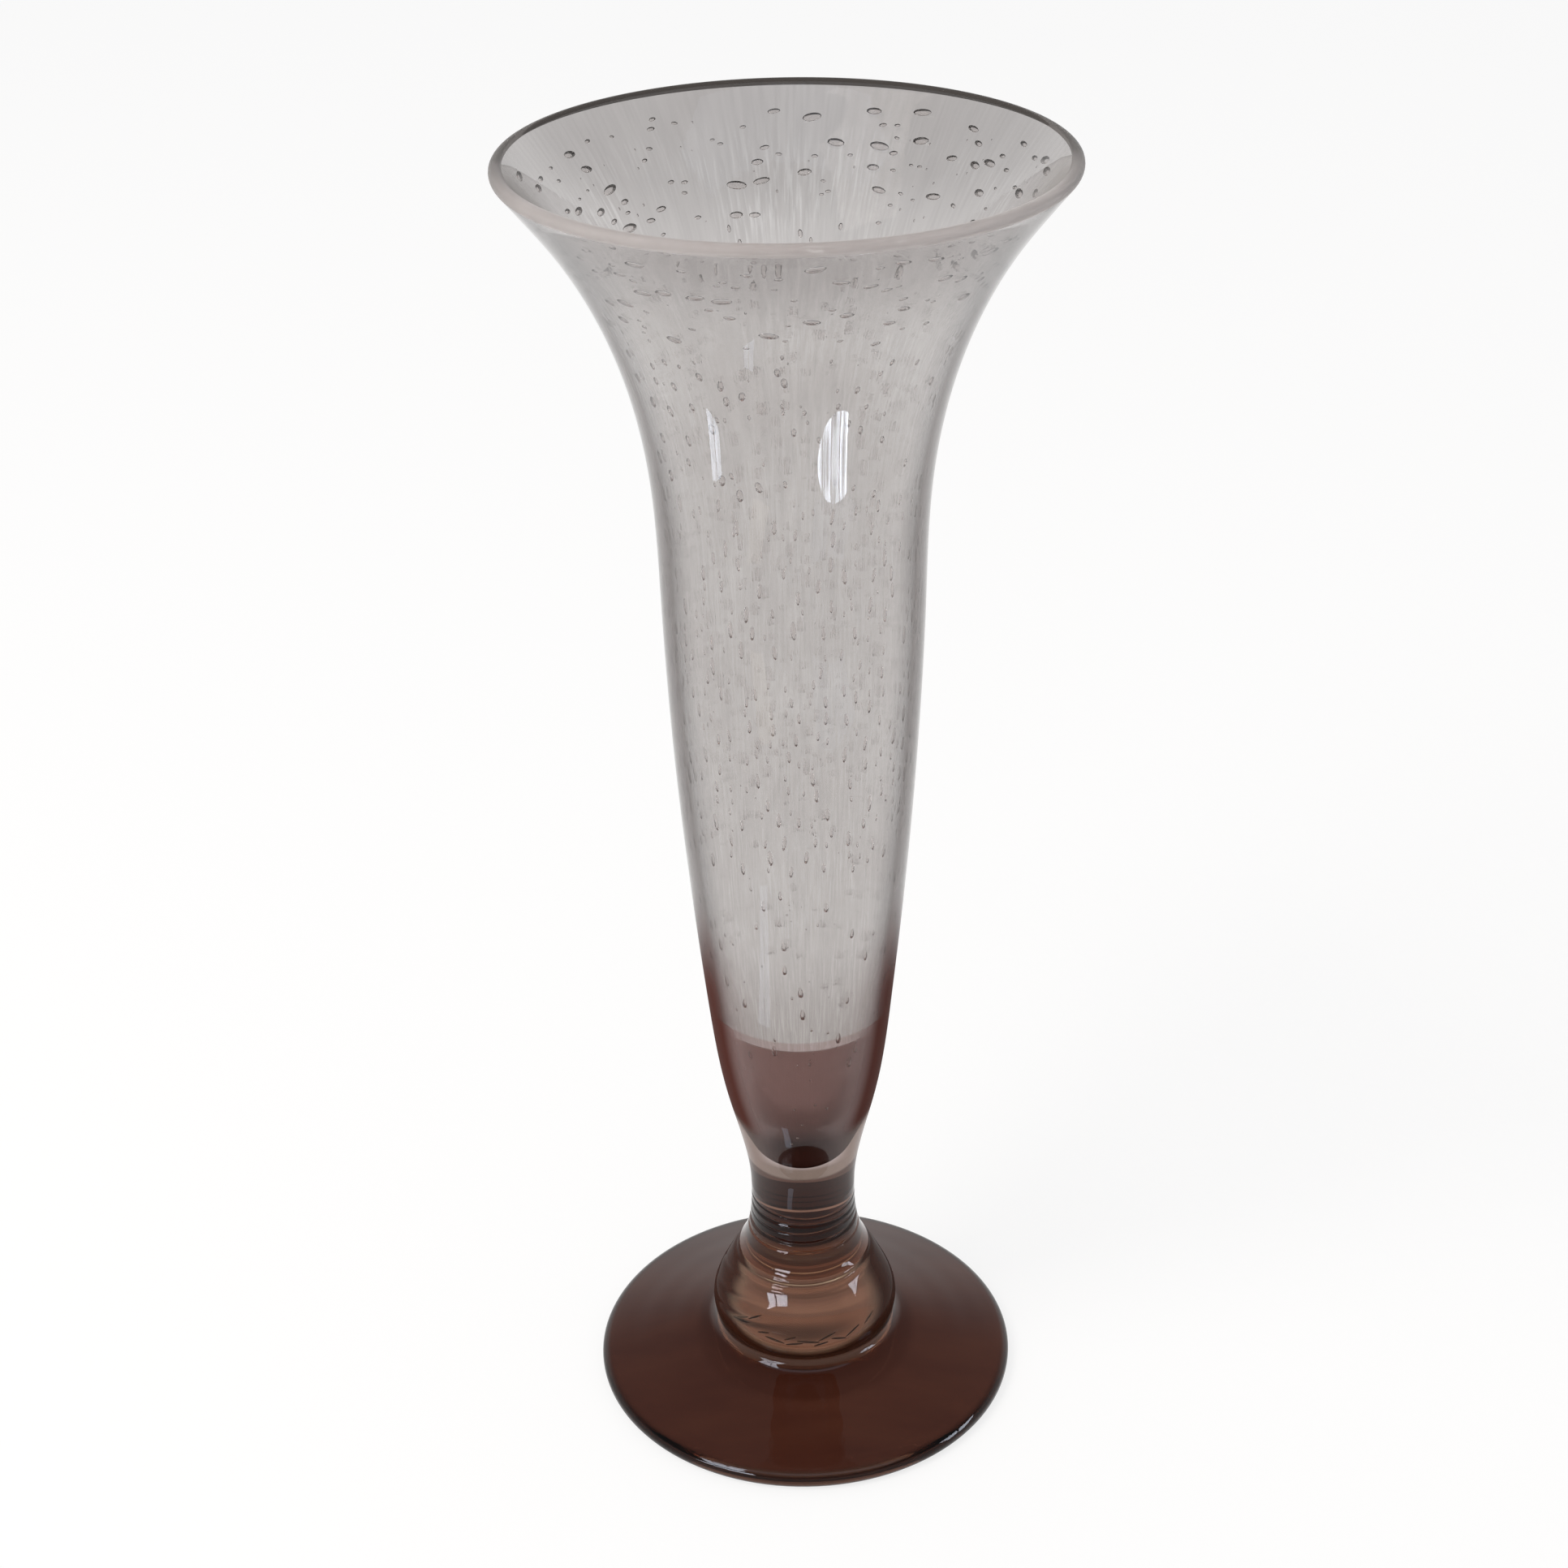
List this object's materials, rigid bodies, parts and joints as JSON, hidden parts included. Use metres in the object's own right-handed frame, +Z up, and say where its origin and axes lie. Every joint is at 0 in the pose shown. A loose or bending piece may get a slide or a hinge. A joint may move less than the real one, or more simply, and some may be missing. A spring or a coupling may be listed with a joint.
{
  "type": "trumpet vase",
  "caption": "Footed trumpet vase of blown bubble glass: a tall tapering bowl that flares to a wide mouth, on a ringed stem, a bulging knop and a round disc foot.",
  "frame": {"origin": "centre of the foot on the surface that the vase stands on", "axes": "+Z up along the axis of the vase, from the foot to the mouth; X and Y level, all turns alike"},
  "size_m": [0.116, 0.116, 0.2996],
  "materials": {
    "bowl_glass": "fire-polished smoky bubble glass",
    "stem_glass": "fire-polished brown glass with tool rings",
    "knop_glass": "fire-polished amber glass",
    "foot_glass": "fire-polished dark brown glass"
  },
  "bodies": {
    "root": {"inner_gather": "bowl_glass", "outer_gather": "bowl_glass", "ringed_stem": "stem_glass", "base_knop": "knop_glass", "foot_disc": "foot_glass"}
  },
  "joints": []
}
